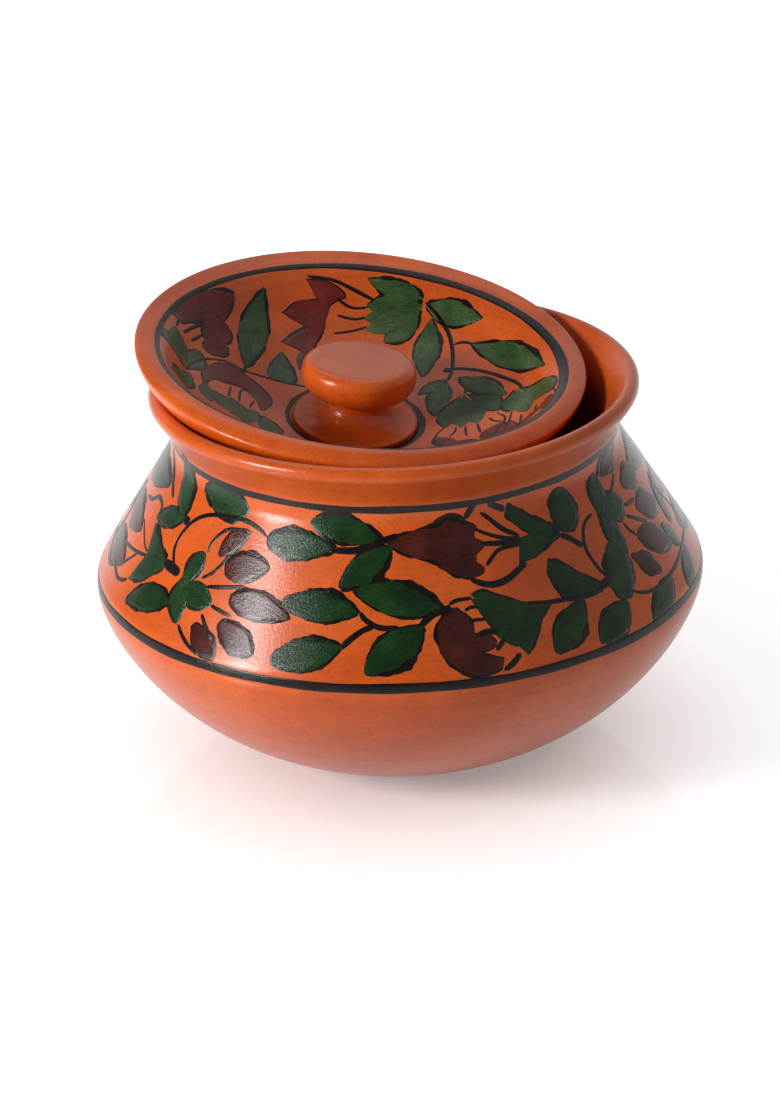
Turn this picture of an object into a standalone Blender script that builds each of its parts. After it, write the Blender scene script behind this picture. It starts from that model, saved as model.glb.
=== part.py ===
"""Ceramic handi: a turned terracotta cooking pot with a loose dished lid that carries a knob.

The pot stands on z = 0 with its axis on Z. The lid lies askew in the pot's mouth, as it was photographed.
All sizes are in metres. Sections are lists of (radius, height, rise): a rise lifts that ring in front and
drops it as much behind, for the uneven rim and the leaning knob.
"""

import math

import bpy
from mathutils import Vector

UP = Vector((0.0, 1.0, 0.0))
OUT = Vector((1.0, 0.0, 0.0))
FRONT = math.radians(-90)

# Pot
POT_HEIGHT = 0.1503
FOOT_RADIUS = 0.0415
BELLY_RADIUS = 0.120
BELLY_HEIGHT = 0.0695
BOWL_FLARE = math.radians(14)
BOWL_FULLNESS = 0.535
BELLY_FULLNESS = 0.12
KEEL_EASE = 0.0037
NECK_RADIUS = 0.0852
NECK_EASE = 0.0075
COLLAR_HEIGHT = 0.0208
POT_WALL = 0.0064
POT_FLOOR = 0.0075

# Pot lip
LIP_RADIUS = 0.0960
LIP_ROLL = 0.0034
LIP_INNER_SLOPE = math.radians(46)
LIP_UNDER_TURN = math.radians(40)
MOUTH_RISE = 0.0120
MOUTH_RUN = 0.0066

# Lid dish
DISH_RADIUS = 0.0890
DISH_DEPTH = 0.0365
DISH_WALL = 0.0054
RIM_BEND_RADIUS = 0.0660
RIM_BEND = 0.0060
RIM_LEDGE = 0.0080
RIM_LEDGE_SLOPE = math.radians(10)
RIM_CREST_RADIUS = 0.0820
RIM_CREST_HEIGHT = 0.0015
RIM_CREST_RISE = 0.0029
RIM_CREST_ROUND = 0.0030
RIM_EDGE_DROP = 0.0044
RIM_EDGE_ROUND = 0.0013
RIM_UNDERCUT = 0.0050

# How the lid lies in the mouth
LID_TILT = math.radians(9.8)
LID_LOW_SIDE = math.radians(-45)
LID_GAP = 0.0003
SEAT_GAP = 0.0003

# Knob
KNOB_HEIGHT = 0.0262
KNOB_HEAD_RADIUS = 0.0227
KNOB_TOP_RADIUS = 0.0178
KNOB_HEAD_THICKNESS = 0.0145
KNOB_BROW_DROP = 0.0062
KNOB_STEM_RADIUS = 0.0118
KNOB_FOOT_RADIUS = 0.0248
KNOB_FOOT_EDGE = 0.0015
KNOB_LEAN = math.radians(5)
KNOB_ROUND = 0.0038
KNOB_UNDER_ROUND = 0.0044
KNOB_NECK_ROUND = 0.0014
KNOB_FLARE = 0.0050

# Facets
POT_STEPS = 72
LID_STEPS = 72
KNOB_STEPS = 40

TERRACOTTA = (0.66, 0.20, 0.055)
TERRACOTTA_ROUGHNESS = 0.38
SAME_POINT = 0.00005


def clear_scene():
    """Start from an empty scene."""
    for thing in list(bpy.data.objects):
        bpy.data.objects.remove(thing, do_unlink=True)


def make_material(name, color, roughness):
    """A plain varnished clay."""
    material = bpy.data.materials.new(name)
    material.use_nodes = True
    shader = material.node_tree.nodes["Principled BSDF"]
    shader.inputs["Base Color"].default_value = (*color, 1.0)
    shader.inputs["Roughness"].default_value = roughness
    shader.inputs["Metallic"].default_value = 0.0
    return material


def unit(angle):
    """A direction in a section."""
    return Vector((math.cos(angle), math.sin(angle), 0.0))


def arc(center, radius, start, end, count):
    """Points on a circle, from one angle to another."""
    return [center + radius * unit(start + (end - start) * i / count) for i in range(count + 1)]


def bezier(a, b, c, d, count):
    """Points on a cubic curve from a to d."""
    points = []
    for i in range(count + 1):
        t = i / count
        s = 1 - t
        points.append(s ** 3 * a + 3 * s * s * t * b + 3 * s * t * t * c + t ** 3 * d)
    return points


def eased(before, corner, after, length, count):
    """A corner rounded over a length to each side of it."""
    start = corner + (before - corner).normalized() * length
    end = corner + (after - corner).normalized() * length
    return bezier(start, start.lerp(corner, 0.6), end.lerp(corner, 0.6), end, count)


def chain(*runs):
    """Join runs of points end to end, without the doubled ends."""
    points = []
    for run in runs:
        for point in run:
            if not points or (point - points[-1]).length > SAME_POINT:
                points.append(point)
    return points


def offset(points, distance):
    """The same curve, moved to its left by a distance."""
    moved = []
    last = len(points) - 1
    for i, point in enumerate(points):
        along = (points[min(i + 1, last)] - points[max(i - 1, 0)]).normalized()
        moved.append(point + distance * Vector((-along.y, along.x, 0.0)))
    return moved


def turned(name, profile, steps, material, collection):
    """Spin a section about Z. It starts and ends on the axis, and runs down its outer side."""
    mesh = bpy.data.meshes.new(name)
    vertices = [(point.x, 0.0, point.y) for point in profile]
    mesh.from_pydata(vertices, [(i, i + 1) for i in range(len(vertices) - 1)], [])
    mesh.materials.append(material)
    thing = bpy.data.objects.new(name, mesh)
    collection.objects.link(thing)
    screw = thing.modifiers.new("Screw", "SCREW")
    screw.axis = "Z"
    screw.angle = math.tau
    screw.steps = steps
    screw.render_steps = steps
    screw.use_merge_vertices = True
    screw.merge_threshold = SAME_POINT
    screw.use_smooth_shade = True
    return thing


def lofted(name, profile, steps, material, collection):
    """Loft through unlike sections about Z: each point's rise makes the sections differ round the piece."""
    rows = profile[1:-1]
    count = len(rows)
    vertices = [(0.0, 0.0, profile[0].y), (0.0, 0.0, profile[-1].y)]
    faces = []
    for step in range(steps):
        angle = math.tau * step / steps
        front = math.cos(angle - FRONT)
        for radius, height, rise in rows:
            vertices.append((radius * math.cos(angle), radius * math.sin(angle), height + rise * front))
        here = 2 + step * count
        there = 2 + (step + 1) % steps * count
        faces.append((0, here, there))
        faces.append((1, there + count - 1, here + count - 1))
        for i in range(count - 1):
            faces.append((here + i, here + i + 1, there + i + 1, there + i))
    mesh = bpy.data.meshes.new(name)
    mesh.from_pydata(vertices, [], faces)
    mesh.materials.append(material)
    mesh.shade_smooth()
    thing = bpy.data.objects.new(name, mesh)
    collection.objects.link(thing)
    return thing


def lip_center():
    """Centre of the lip's rolled edge."""
    return Vector((LIP_RADIUS - LIP_ROLL, POT_HEIGHT - LIP_ROLL, 0.0))


def neck_corner():
    """Where the lines of the shoulder and the collar would meet, before the neck is eased."""
    return Vector((NECK_RADIUS, POT_HEIGHT - COLLAR_HEIGHT, 0.0))


def wall_outside():
    """Outer curve of the pot's wall, from the flat foot up to the lip's underside."""
    foot = Vector((FOOT_RADIUS, 0.0, 0.0))
    keel = Vector((BELLY_RADIUS, BELLY_HEIGHT, 0.0))
    span = (keel - foot).length
    flare = foot + BOWL_FULLNESS * span * unit(BOWL_FLARE)
    bowl = bezier(foot, flare, keel - BELLY_FULLNESS * span * UP, keel, 12)
    neck = neck_corner()
    under_lip = lip_center() + LIP_ROLL * unit(-LIP_UNDER_TURN)
    keel_corner = keel + KEEL_EASE * UP
    keel_round = eased(keel, keel_corner, neck, KEEL_EASE, 3)
    neck_round = eased(keel_corner, neck, under_lip, NECK_EASE, 4)
    shoulder = [keel_round[-1].lerp(neck_round[0], i / 3) for i in range(4)]
    return chain(bowl, keel_round, shoulder, neck_round, [under_lip])


def pot_profile():
    """The pot's section, from the axis up its inside, over the lip and down its outside to the axis."""
    outside = wall_outside()
    neck_height = neck_corner().y + SAME_POINT
    inside = [p for p in offset(outside, POT_WALL) if POT_FLOOR < p.y < neck_height]
    lip = arc(lip_center(), LIP_ROLL, math.pi / 2 + LIP_INNER_SLOPE, -LIP_UNDER_TURN, 8)
    throat = inside[-1]
    mouth = bezier(throat, throat + MOUTH_RISE * UP, lip[0] - MOUTH_RUN * unit(LIP_INNER_SLOPE), lip[0], 4)
    bottom = [POT_FLOOR * UP, FOOT_RADIUS * OUT + POT_FLOOR * UP]
    return chain(bottom, inside, mouth, lip, list(reversed(outside)), [Vector((0.0, 0.0, 0.0))])


def dish_center():
    """Centre of the dish's sphere, above its edge: the underside meets the rim at its lower edge."""
    drop = DISH_DEPTH - RIM_EDGE_DROP
    return ((DISH_RADIUS * DISH_RADIUS - drop * drop) / (2 * drop) - RIM_EDGE_DROP) * UP


def dish_profile():
    """The dish's section in its own frame: height 0 is the level of its outermost edge."""
    center = dish_center()
    outer = center.y + DISH_DEPTH
    inner = outer - DISH_WALL
    down = math.radians(-90)
    bend = -math.acos(RIM_BEND_RADIUS / inner)
    inside = arc(center, inner, down, bend, 9)
    crest = Vector((RIM_CREST_RADIUS, RIM_CREST_HEIGHT, RIM_CREST_RISE))
    ledge = crest - RIM_LEDGE * unit(RIM_LEDGE_SLOPE)
    edge = DISH_RADIUS * OUT
    rise = bezier(inside[-1], inside[-1] + RIM_BEND * unit(bend + math.pi / 2), ledge, crest, 6)
    fall = bezier(crest, crest + RIM_CREST_ROUND * OUT, edge + RIM_EDGE_ROUND * UP, edge, 4)
    meet = -math.acos((DISH_RADIUS - RIM_UNDERCUT) / outer)
    under = arc(center, outer, meet, down, 10)
    hollow = under[0] + RIM_UNDERCUT / 2 * unit(meet + math.pi / 2)
    turn = bezier(edge, edge - 2 * RIM_EDGE_ROUND * UP, hollow, under[0], 4)
    return chain(inside, rise, fall, turn, under)


def knob_profile():
    """The knob's section in the dish's frame. Its foot follows the hollow of the dish."""
    center = dish_center()
    hollow = center.y + DISH_DEPTH - DISH_WALL - SEAT_GAP
    foot_angle = -math.acos(KNOB_FOOT_RADIUS / hollow)
    bottom = arc(center, hollow, foot_angle, math.radians(-90), 4)
    foot = bottom[0]
    lean = math.tan(KNOB_LEAN)
    top = foot.y + KNOB_HEIGHT
    head = top - KNOB_BROW_DROP
    under = top - KNOB_HEAD_THICKNESS
    neck_radius = KNOB_STEM_RADIUS + KNOB_NECK_ROUND
    top_edge = Vector((KNOB_TOP_RADIUS, top, KNOB_TOP_RADIUS * lean))
    brow = Vector((KNOB_HEAD_RADIUS, head, KNOB_HEAD_RADIUS * lean))
    neck = Vector((neck_radius, under, neck_radius * lean))
    waist = Vector((KNOB_STEM_RADIUS, under - KNOB_NECK_ROUND, KNOB_STEM_RADIUS * lean / 2))
    toe = foot + KNOB_FOOT_EDGE * UP
    head_top = bezier(top_edge, top_edge + KNOB_ROUND * OUT, brow + KNOB_ROUND * UP, brow, 4)
    head_under = bezier(brow, brow - KNOB_UNDER_ROUND * UP, neck + 1.4 * KNOB_UNDER_ROUND * OUT, neck, 5)
    throat = bezier(neck, neck - KNOB_NECK_ROUND / 2 * OUT, waist + KNOB_NECK_ROUND / 2 * UP, waist, 2)
    flare = bezier(waist, waist - KNOB_FLARE * UP, toe - 1.4 * KNOB_FLARE * OUT, toe, 5)
    return chain([top * UP], head_top, head_under, throat, flare, bottom)


def seat_lid(collection):
    """An empty at the middle of the lid's rim, tilted and dropped until the lid meets the pot's lip."""
    height = dish_center().y
    lip = lip_center()
    reach = height + DISH_DEPTH + LIP_ROLL + LID_GAP
    sphere_height = lip.y + math.sqrt(reach * reach - lip.x * lip.x)
    lean = math.sin(LID_TILT)
    normal = Vector((lean * math.cos(LID_LOW_SIDE), lean * math.sin(LID_LOW_SIDE), math.cos(LID_TILT)))
    seat = bpy.data.objects.new("lid_seat", None)
    seat.location = Vector((0.0, 0.0, sphere_height)) - height * normal
    seat.rotation_mode = "QUATERNION"
    seat.rotation_quaternion = Vector((0.0, 0.0, 1.0)).rotation_difference(normal)
    collection.objects.link(seat)
    return seat


def main():
    clear_scene()
    collection = bpy.data.collections.new("ceramic_handi")
    bpy.context.scene.collection.children.link(collection)
    pot_clay = make_material("pot_clay", TERRACOTTA, TERRACOTTA_ROUGHNESS)
    lid_clay = make_material("lid_clay", TERRACOTTA, TERRACOTTA_ROUGHNESS)
    knob_clay = make_material("knob_clay", TERRACOTTA, TERRACOTTA_ROUGHNESS)
    turned("pot", pot_profile(), POT_STEPS, pot_clay, collection)
    seat = seat_lid(collection)
    dish = lofted("lid_dish", dish_profile(), LID_STEPS, lid_clay, collection)
    knob = lofted("lid_knob", knob_profile(), KNOB_STEPS, knob_clay, collection)
    for piece in (dish, knob):
        piece.parent = seat


if __name__ == "__main__":
    main()
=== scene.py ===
"""Ceramic handi: fine turned clay, painted vine, floor, light and camera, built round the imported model."""

import math

import bpy
import numpy as np
from mathutils import Matrix, Vector


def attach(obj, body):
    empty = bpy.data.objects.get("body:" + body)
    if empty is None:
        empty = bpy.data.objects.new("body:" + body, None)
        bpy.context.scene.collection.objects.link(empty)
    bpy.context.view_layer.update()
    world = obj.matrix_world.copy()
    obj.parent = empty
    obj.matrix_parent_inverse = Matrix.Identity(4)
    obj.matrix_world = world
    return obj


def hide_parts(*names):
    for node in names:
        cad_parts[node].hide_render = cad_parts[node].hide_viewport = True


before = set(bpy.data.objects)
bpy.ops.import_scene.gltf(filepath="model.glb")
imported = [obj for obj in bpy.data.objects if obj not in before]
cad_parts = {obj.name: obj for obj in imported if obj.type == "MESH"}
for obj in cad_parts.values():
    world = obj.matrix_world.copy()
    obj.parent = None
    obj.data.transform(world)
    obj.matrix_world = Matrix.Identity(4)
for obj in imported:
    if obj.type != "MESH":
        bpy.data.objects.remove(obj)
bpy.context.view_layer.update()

# A millimetre in metres, and a length in millimetres too small to matter
MM = 0.001
TINY = 0.001

# Pot, as in the model: lengths in millimetres
POT_HEIGHT = 150.3
FOOT_RADIUS = 41.5
BELLY_RADIUS = 120.0
BELLY_HEIGHT = 69.5
BOWL_FLARE = math.radians(14)
BOWL_FULLNESS = 0.535
BELLY_FULLNESS = 0.12
KEEL_EASE = 3.7
NECK_RADIUS = 85.2
NECK_EASE = 7.5
COLLAR_HEIGHT = 20.8
POT_WALL = 6.4
POT_FLOOR = 7.5
LIP_RADIUS = 96.0
LIP_ROLL = 3.4
LIP_INNER_SLOPE = math.radians(46)
LIP_UNDER_TURN = math.radians(40)
MOUTH_RISE = 12.0
MOUTH_RUN = 6.6
FOOT_CLEAR = 0.3
FOOT_EDGE_OUT = 0.6
FOOT_EDGE_UP = 0.1

# Lid and knob, as in the model: lengths in millimetres
DISH_RADIUS = 89.0
DISH_DEPTH = 36.5
DISH_WALL = 5.4
RIM_BEND_RADIUS = 66.0
RIM_BEND = 6.0
RIM_LEDGE = 8.0
RIM_LEDGE_SLOPE = math.radians(10)
RIM_CREST_RADIUS = 82.0
RIM_CREST_HEIGHT = 1.5
RIM_CREST_RISE = 2.9
RIM_CREST_ROUND = 3.0
RIM_EDGE_DROP = 4.4
RIM_EDGE_ROUND = 1.3
RIM_UNDERCUT = 5.0
LID_TILT = math.radians(9.8)
LID_LOW_SIDE = math.radians(-45)
LID_GAP = 0.3
SEAT_GAP = 0.3
KNOB_HEIGHT = 26.2
KNOB_HEAD_RADIUS = 22.7
KNOB_TOP_RADIUS = 17.8
KNOB_HEAD_THICKNESS = 14.5
KNOB_BROW_DROP = 6.2
KNOB_STEM_RADIUS = 11.8
KNOB_FOOT_RADIUS = 24.8
KNOB_FOOT_EDGE = 1.5
KNOB_LEAN = math.radians(5)
KNOB_ROUND = 3.8
KNOB_UNDER_ROUND = 4.4
KNOB_NECK_ROUND = 1.4
KNOB_FLARE = 5.0
KNOB_PULL = 1.4
EASE_FULLNESS = 0.6
SAME_POINT = 0.01

FRONT = math.radians(-90)
DOWN = math.radians(-90)
UP = np.array((0.0, 1.0, 0.0))
OUT = np.array((1.0, 0.0, 0.0))

# How far inside the model the clay lies, so that its paint stays within the model's box
CLAY_INSET = 0.15

# Chart of the shoulder: millimetres to a degree, and distance up the slope to the cone's middle
CHART_DEGREE = 1.8
CONE_MIDDLE = 33.0

# Half the distance over which the lid's slope is taken, in millimetres
SLOPE_STEP = 0.4

# Paint, in millimetres: how far and over what width its edges sink, and how high each layer stands
PAINT_SINK = -0.06
PAINT_EDGE = 0.4
WASH_HEIGHT = 0.085
LINE_HEIGHT = 0.13
EDGE_HEIGHT = 0.045
PAINT_EDGE_SHARE = 0.4
PAINT_COLUMNS = 7
PAINT_LABELS = ("leaves", "petals", "lines")
LINES = PAINT_LABELS.index("lines")

# The streaks' own chart: its size, and its shift from one sheet to the next
STREAK_SCALE = 0.1
STREAK_SHIFT = 0.37

# Rows along a sheet: how far apart, in millimetres, and how many at least
STROKE_SPACING = 1.2
EDGE_SPACING = 0.6
LEAF_SPACING = 0.8
LEAF_ROWS = 18
PATCH_SPACING = 1.1
PATCH_ROWS = 10

# The brush's unsteadiness: size, speed and share of the phase of its waves, and its size by shape
WOBBLE = ((1.0, 9.1, 1.0), (0.6, 21.7, 2.3), (0.35, 47.0, 4.1))
STROKE_WOBBLE = 0.05
LEAF_WOBBLE = 0.10
PATCH_WOBBLE = 0.12
STEADY_WIDTH = 0.5
LEAF_PHASE = 0.7
PATCH_PHASE = 0.3

# A stroke's width: squareness of its ends, least share there, share along it, swell in its middle
STROKE_SQUARENESS = 8
STROKE_TIP = 0.02
STROKE_BODY = 0.92
STROKE_SWELL = 0.12

# Leaves at least this broad for their length keep only this share of their slimness
BROAD_LEAF = 0.66
BROAD_SHARE = 0.75

# Edge lines: mean width and how much it varies; least half widths of line and wash
EDGE_BODY = 0.75
EDGE_WOBBLE = 0.4
LEAST_LINE = 0.04
LEAST_WASH = 0.03

# Brushwork: how full the leaves are, less being fuller, and how bold their edge lines are
SHOULDER_SLIM = 0.74
SHOULDER_BOLD = 1.25
LID_SLIM = 0.95
LID_BOLD = 1.35

# Black bands round the pot: height above the floor, width and sway, in millimetres, and their waves
POT_BANDS = ((72.2, 3.9, 0.15), (131.2, 3.3, 0.10))
BAND_WAVES = ((0.07, 7, 0), (0.05, 23, 1))
BAND_SWAY = (2, 0.6)
BAND_RIPPLE = (0.1, 11, 0)
BAND_HALF_TURN = 181
BAND_ROWS = 544

# Black rings on the lid: radius and width, in millimetres, their waves, and overlap in radians
LID_RINGS = ((79.9, 3.3), (26.6, 2.9))
RING_WAVES = ((0.22, 1, math.pi / 2), (0.06, 5, 1), (0.04, 17, 0))
RING_OVERLAP = 0.04
RING_ROWS = 365

# Steps round each turned piece, and along the curves of its section
POT_STEPS = 320
DISH_STEPS = 288
KNOB_STEPS = 160
BOWL_CURVE = 60
DISH_ARC = 44
LIP_ARC = 28
RIM_RISE_CURVE = 24
LONG_CURVE = 16
WALL_CURVE = 14
ROUND_CURVE = 12
SHORT_CURVE = 6
LONGEST_STEP = 2.0

# Colours as they are seen, 0 to 255: deep, middle and pale
CLAY_COLORS = ((203, 81, 12), (217, 90, 18), (229, 103, 30))
POT_GREENS = ((9, 34, 10), (17, 50, 18), (38, 74, 32))
POT_MAROONS = ((46, 12, 9), (68, 21, 15), (94, 36, 28))
# The lid's greens are lighter and greyer than the shoulder's: painted sheen, the lid's reflection of the
# light put into the paint's colour
LID_GREENS_WITH_PAINTED_SHEEN = ((40, 60, 30), (58, 83, 44), (88, 108, 68))
LID_MAROONS = ((80, 13, 8), (108, 22, 13), (136, 44, 32))
LINE_BLACKS = ((10, 6, 4), (17, 11, 8), (34, 25, 21))

# Where the three colours stand in the noise
CLAY_PLACES = (0.32, 0.5, 0.68)
PAINT_PLACES = (0.36, 0.5, 0.66)

# What specks, turning rings and mottle multiply the clay's colour by, and the share of each
SPECKS = ((0.30, (0.72, 0.69, 0.68)), (0.45, (1.0, 1.0, 1.0)), (0.75, (1.06, 1.05, 1.04)))
RINGS = ((0.34, (0.84, 0.80, 0.76)), (0.52, (1.0, 1.0, 1.0)), (0.72, (1.05, 1.06, 1.08)))
MOTTLE = ((0.36, (0.88, 0.84, 0.80)), (0.56, (1.0, 1.0, 1.0)))
SPECK_SHARE = 0.8
RING_SHARE = 0.5
MOTTLE_SHARE = 0.5

# How turning flattens the rings, and how brushing draws out the streaks
RING_STRETCH = (6.0, 6.0, 420.0)
STREAK_STRETCH = (0.9, 9.0, 1.0)

# Roughness under the varnish: the clay's range, and how far the paint's strays from its mean
CLAY_ROUGHNESS = (0.39, 0.55)
PAINT_SMOOTHER = 0.08
PAINT_ROUGHER = 0.12

# Varnish
COAT_WEIGHT = 0.85
COAT_IOR = 1.38
CLAY_COAT_ROUGHNESS = 0.19
CLAY_SHEEN = 0.2
PAINT_COAT_ROUGHNESS = 0.13
PAINT_SHEEN = 0.05

# Strength of the room, its bright side and the backdrop; share of the table's white in mirrors
ROOM_LIGHT = 0.10
WINDOW_LIGHT = 0.45
BACKDROP_LIGHT = 0.62
MIRRORED_GLOW = 0.6

# Directions between which the backdrop and the room's bright side fade in
BACKDROP_SIDE = (0.6, 0.85)
BACKDROP_TOP = (0.62, 0.5)
WINDOW_SIDE = (-0.2, 0.8)

# Table: half its width in metres, its surface, and its glow by distance from the pot's axis, weaker near the
# pot as painted shade round it
TABLE_REACH = 6.0
TABLE_WHITE = 0.82
TABLE_ROUGHNESS = 0.06
TABLE_SHEEN = 0.6
TABLE_GLOW_WITH_PAINTED_SHADE = ((0.06, 0.25), (0.10, 0.48), (0.14, 0.62), (0.22, 0.72), (0.40, 1.0))

# Lamps: azimuth and elevation in degrees, distance, width and height in metres, and watts
LAMPS = {
    "key": (-151, 20.5, 1.3, 0.27, 0.40, 14.4),
    "top": (90, 62, 1.4, 1.0, 0.7, 2.2),
}
LAMP_TARGET = Vector((0.0, 0.0, 0.09))

# Camera: its aim, distance and reach in metres, its lens and sensor in millimetres
CAMERA_AIM = Vector((-0.00377, 0.0, 0.07479))
CAMERA_DISTANCE = 1.92
CAMERA_ELEVATION = math.radians(23.72)
CAMERA_ROLL = math.radians(-2.07)
CAMERA_LENS = 157.52
CAMERA_SENSOR = 36.0
CAMERA_REACH = 20.0


def unit(angle):
    return np.array((math.cos(angle), math.sin(angle), 0.0))


def arc(center, radius, start, end, count):
    return [center + radius * unit(start + (end - start) * i / count) for i in range(count + 1)]


def bezier(a, b, c, d, count):
    points = []
    for i in range(count + 1):
        t = i / count
        s = 1 - t
        points.append(s ** 3 * a + 3 * s * s * t * b + 3 * s * t * t * c + t ** 3 * d)
    return points


def toward(a, b, length):
    """The point at some distance from a on the way to b."""
    return a + (b - a) / np.linalg.norm(b - a) * length


def eased(before, corner, after, length, count):
    """A rounded corner that begins and ends at some distance from the sharp one."""
    start = toward(corner, before, length)
    end = toward(corner, after, length)
    first = start + EASE_FULLNESS * (corner - start)
    second = end + EASE_FULLNESS * (corner - end)
    return bezier(start, first, second, end, count)


def chain(*runs):
    """Runs of points joined into one, without points that coincide."""
    points = []
    for run in runs:
        for point in run:
            if not points or np.linalg.norm(point - points[-1]) > SAME_POINT:
                points.append(point)
    return points


def offset(points, distance):
    """The same run, moved to its left."""
    moved = []
    last = len(points) - 1
    for i, point in enumerate(points):
        along = points[min(i + 1, last)] - points[max(i - 1, 0)]
        along = along / np.linalg.norm(along)
        moved.append(point + distance * np.array((-along[1], along[0], 0.0)))
    return moved


def evened(points, step):
    """The same run with extra points, so that no piece of it is longer than a step."""
    dense = [points[0]]
    for a, b in zip(points, points[1:]):
        count = max(1, math.ceil(np.linalg.norm(b - a) / step))
        dense += [a + (b - a) * i / count for i in range(1, count + 1)]
    return dense


def distances(points):
    """The distance along a run of points, at each of them."""
    return np.concatenate([[0], np.cumsum(np.linalg.norm(np.diff(points, axis=0), axis=1))])


def lip_center():
    return np.array((LIP_RADIUS - LIP_ROLL, POT_HEIGHT - LIP_ROLL, 0.0))


def neck_corner():
    return np.array((NECK_RADIUS, POT_HEIGHT - COLLAR_HEIGHT, 0.0))


def wall_outside():
    """Outer curve of the pot from the flat foot up to the lip's underside."""
    foot = np.array((FOOT_RADIUS, 0.0, 0.0))
    keel = np.array((BELLY_RADIUS, BELLY_HEIGHT, 0.0))
    span = np.linalg.norm(keel - foot)
    rising = foot + BOWL_FULLNESS * span * unit(BOWL_FLARE)
    bowl = bezier(foot, rising, keel - BELLY_FULLNESS * span * UP, keel, BOWL_CURVE)
    neck = neck_corner()
    under_lip = lip_center() + LIP_ROLL * unit(-LIP_UNDER_TURN)
    keel_corner = keel + KEEL_EASE * UP
    keel_round = eased(keel, keel_corner, neck, KEEL_EASE, ROUND_CURVE)
    neck_round = eased(keel_corner, neck, under_lip, NECK_EASE, WALL_CURVE)
    return evened(chain(bowl, keel_round, neck_round, [under_lip]), LONGEST_STEP)


def pot_section():
    """The pot's section, from the axis up its inside, over the lip and down its outside to the axis."""
    outside = wall_outside()
    neck_height = neck_corner()[1]
    inside = [p for p in offset(outside, POT_WALL) if POT_FLOOR < p[1] < neck_height]
    lip_start = math.pi / 2 + LIP_INNER_SLOPE
    lip = arc(lip_center(), LIP_ROLL - CLAY_INSET, lip_start, -LIP_UNDER_TURN, LIP_ARC)
    run = MOUTH_RUN * unit(LIP_INNER_SLOPE)
    mouth = bezier(inside[-1], inside[-1] + MOUTH_RISE * UP, lip[0] - run, lip[0], WALL_CURVE)
    bottom = [POT_FLOOR * UP, FOOT_RADIUS * OUT + POT_FLOOR * UP]
    skin = [p for p in offset(outside, CLAY_INSET) if p[1] > FOOT_CLEAR]
    foot_round = [(FOOT_RADIUS + FOOT_EDGE_OUT) * OUT + FOOT_EDGE_UP * UP, FOOT_RADIUS * OUT]
    return chain(bottom, inside, mouth, lip, list(reversed(skin)), foot_round, [0 * OUT]), skin


def dish_center():
    drop = DISH_DEPTH - RIM_EDGE_DROP
    return ((DISH_RADIUS * DISH_RADIUS - drop * drop) / (2 * drop) - RIM_EDGE_DROP) * UP


def dish_section():
    """The dish's section in its own frame, and the part of it that faces up."""
    center = dish_center()
    outer = center[1] + DISH_DEPTH
    inner = outer - DISH_WALL
    bend = -math.acos(RIM_BEND_RADIUS / inner)
    inside = arc(center, inner, DOWN, bend, DISH_ARC)
    crest = np.array((RIM_CREST_RADIUS, RIM_CREST_HEIGHT - CLAY_INSET, RIM_CREST_RISE))
    ledge = crest - RIM_LEDGE * unit(RIM_LEDGE_SLOPE)
    edge = (DISH_RADIUS - CLAY_INSET) * OUT
    onward = inside[-1] + RIM_BEND * unit(bend + math.pi / 2)
    rise = bezier(inside[-1], onward, ledge, crest, RIM_RISE_CURVE)
    fall = bezier(crest, crest + RIM_CREST_ROUND * OUT, edge + RIM_EDGE_ROUND * UP, edge, LONG_CURVE)
    meet = -math.acos((DISH_RADIUS - RIM_UNDERCUT) / outer)
    under = arc(center, outer, meet, DOWN, DISH_ARC)
    hollow = under[0] + RIM_UNDERCUT / 2 * unit(meet + math.pi / 2)
    turn = bezier(edge, edge - 2 * RIM_EDGE_ROUND * UP, hollow, under[0], ROUND_CURVE)
    return chain(inside, rise, fall, turn, under), chain(inside, rise, fall)


def knob_section():
    """The knob's section in the dish's frame."""
    center = dish_center()
    hollow = center[1] + DISH_DEPTH - DISH_WALL - SEAT_GAP
    foot_angle = -math.acos(KNOB_FOOT_RADIUS / hollow)
    bottom = arc(center, hollow, foot_angle, DOWN, SHORT_CURVE)
    foot = bottom[0]
    lean = math.tan(KNOB_LEAN)
    top = foot[1] + KNOB_HEIGHT
    head = top - KNOB_BROW_DROP
    under = top - KNOB_HEAD_THICKNESS
    neck_radius = KNOB_STEM_RADIUS + KNOB_NECK_ROUND
    top_edge = np.array((KNOB_TOP_RADIUS, top, KNOB_TOP_RADIUS * lean))
    brow = np.array((KNOB_HEAD_RADIUS, head, KNOB_HEAD_RADIUS * lean))
    neck = np.array((neck_radius, under, neck_radius * lean))
    waist = np.array((KNOB_STEM_RADIUS, under - KNOB_NECK_ROUND, KNOB_STEM_RADIUS * lean / 2))
    toe = foot + KNOB_FOOT_EDGE * UP
    face = evened([top * UP, top_edge], LONGEST_STEP)
    under_pull = neck + KNOB_PULL * KNOB_UNDER_ROUND * OUT
    half_round = KNOB_NECK_ROUND / 2
    head_top = bezier(top_edge, top_edge + KNOB_ROUND * OUT, brow + KNOB_ROUND * UP, brow, WALL_CURVE)
    head_under = bezier(brow, brow - KNOB_UNDER_ROUND * UP, under_pull, neck, LONG_CURVE)
    throat = bezier(neck, neck - half_round * OUT, waist + half_round * UP, waist, SHORT_CURVE)
    flare = bezier(waist, waist - KNOB_FLARE * UP, toe - KNOB_PULL * KNOB_FLARE * OUT, toe, LONG_CURVE)
    return chain(face, head_top, head_under, throat, flare, bottom)


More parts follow.
